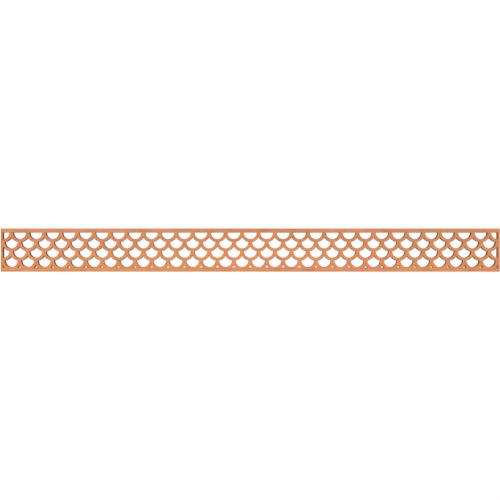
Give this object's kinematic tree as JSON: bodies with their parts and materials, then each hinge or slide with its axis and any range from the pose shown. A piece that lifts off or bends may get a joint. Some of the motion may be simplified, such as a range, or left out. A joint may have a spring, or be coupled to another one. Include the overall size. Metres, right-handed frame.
{
  "type": "fretwork moulding",
  "caption": "Long flat wooden strip pierced through with rows of overlapping fish-scale openings inside a narrow plain border; applied trim for a panel, shelf or frieze.",
  "frame": {"origin": "middle of the back face, which lies on the floor", "axes": "+X along the strip's length, +Y across it towards the top rail, +Z out of the face, away from the wall or panel that the back is fixed to"},
  "size_m": [1.1874, 0.1028, 0.0095],
  "materials": {
    "wood": "bare reddish-orange hardwood, planed smooth and sanded, with dark toasted walls in the cut openings"
  },
  "bodies": {
    "root": {"fretwork_strip": "wood"}
  },
  "joints": []
}
